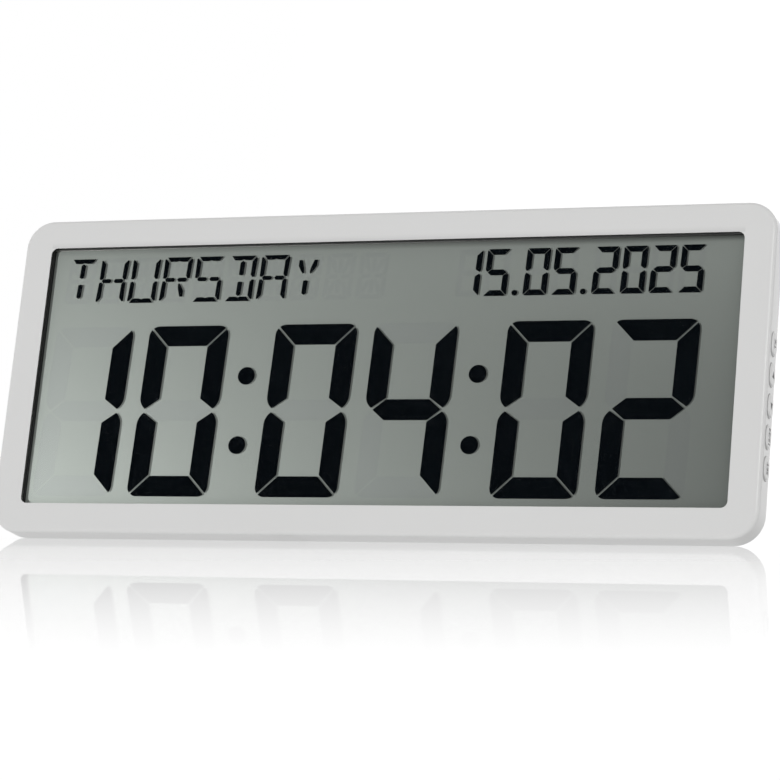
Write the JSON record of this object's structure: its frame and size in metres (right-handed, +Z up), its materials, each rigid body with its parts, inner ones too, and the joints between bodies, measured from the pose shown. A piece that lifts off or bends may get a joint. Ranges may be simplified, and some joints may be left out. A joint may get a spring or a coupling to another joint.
{
  "type": "radio-controlled wall clock",
  "caption": "Wide, low digital clock leaning back on a fold-out stand, with an LCD in a framed window, press buttons in the side, a battery door and keyholes in the back.",
  "frame": {"origin": "on the table, under the middle of the clock's footprint", "axes": "+X to the right as the display is read, +Y to the back, +Z up; the clock leans back by 15 degrees about X"},
  "size_m": [0.3605, 0.0708, 0.1473],
  "materials": {
    "case_plastic": "pale grey-white, fine satin",
    "button_plastic": "pale grey-white, satin",
    "gasket_rubber": "matt black",
    "film": "clear, smooth",
    "lcd_glass": "clear, polished",
    "seal_resin": "black",
    "reflector": "greenish grey, satin",
    "segment_ink": "near black, bluish",
    "unlit_film": "clear, only just visible",
    "holder_plastic": "white",
    "zebra_rubber": "pink, matt",
    "circuit_board": "green lacquer",
    "chip_resin": "black",
    "capacitor_sleeve": "dark blue",
    "steel": "bright plated",
    "ferrite": "dark grey, matt",
    "winding": "enamelled copper",
    "soft_rubber": "matt",
    "flat_cable": "cream",
    "red_wire": "red",
    "black_wire": "black",
    "cell_sleeve": "dark grey"
  },
  "bodies": {
    "case": {"front_bezel": "case_plastic", "rear_cover": "case_plastic", "lcd_gasket": "gasket_rubber", "front_polariser": "film", "front_glass": "lcd_glass", "rear_glass": "lcd_glass", "cell_seal": "seal_resin", "reflector_sheet": "reflector", "time_segments": "segment_ink", "date_segments": "segment_ink", "weekday_segments": "segment_ink", "unlit_segments": "unlit_film", "lcd_holder": "holder_plastic", "zebra_strip": "zebra_rubber", "main_board": "circuit_board", "receiver_board": "circuit_board", "key_board": "circuit_board", "controller_blob": "chip_resin", "receiver_chip": "chip_resin", "key_switches": "chip_resin", "board_capacitors": "capacitor_sleeve", "holder_screws": "steel", "board_screws": "steel", "case_screws": "steel", "quartz_crystal": "steel", "bridge_contact": "steel", "terminal_contacts": "steel", "antenna_rod": "ferrite", "antenna_coil": "winding", "antenna_leads": "winding", "antenna_grommets": "soft_rubber", "key_cable": "flat_cable", "red_lead": "red_wire", "black_lead": "black_wire", "upper_cell": "cell_sleeve", "lower_cell": "cell_sleeve"},
    "zone_key": {"zone_button": "button_plastic", "zone_plunger": "soft_rubber"},
    "up_key": {"up_button": "button_plastic", "up_plunger": "soft_rubber"},
    "down_key": {"down_button": "button_plastic", "down_plunger": "soft_rubber"},
    "format_key": {"format_button": "button_plastic", "format_plunger": "soft_rubber"},
    "set_key": {"set_button": "button_plastic", "set_plunger": "soft_rubber"},
    "leg": {"stand": "case_plastic", "stand_foot": "soft_rubber"},
    "door": {"battery_door": "case_plastic"}
  },
  "joints": [
    {"name": "zone_press", "type": "slide", "parent": "case", "child": "zone_key", "axis": [-1, 0, 0], "range_m": [0, 0.0005], "stiffness_N_per_m": 1200},
    {"name": "up_press", "type": "slide", "parent": "case", "child": "up_key", "axis": [-1, 0, 0], "range_m": [0, 0.0005], "stiffness_N_per_m": 1200},
    {"name": "down_press", "type": "slide", "parent": "case", "child": "down_key", "axis": [-1, 0, 0], "range_m": [0, 0.0005], "stiffness_N_per_m": 1200},
    {"name": "format_press", "type": "slide", "parent": "case", "child": "format_key", "axis": [-1, 0, 0], "range_m": [0, 0.0005], "stiffness_N_per_m": 1200},
    {"name": "set_press", "type": "slide", "parent": "case", "child": "set_key", "axis": [-1, 0, 0], "range_m": [0, 0.0005], "stiffness_N_per_m": 1200},
    {"name": "stand_fold", "type": "hinge", "parent": "case", "child": "leg", "pos_m": [0, 0.01281, 0.07583], "axis": [-1, 0, 0], "range_deg": [0, 30]},
    {"name": "door_slide", "type": "slide", "parent": "case", "child": "door", "axis": [1, 0, 0], "range_m": [0, 0.072]}
  ]
}
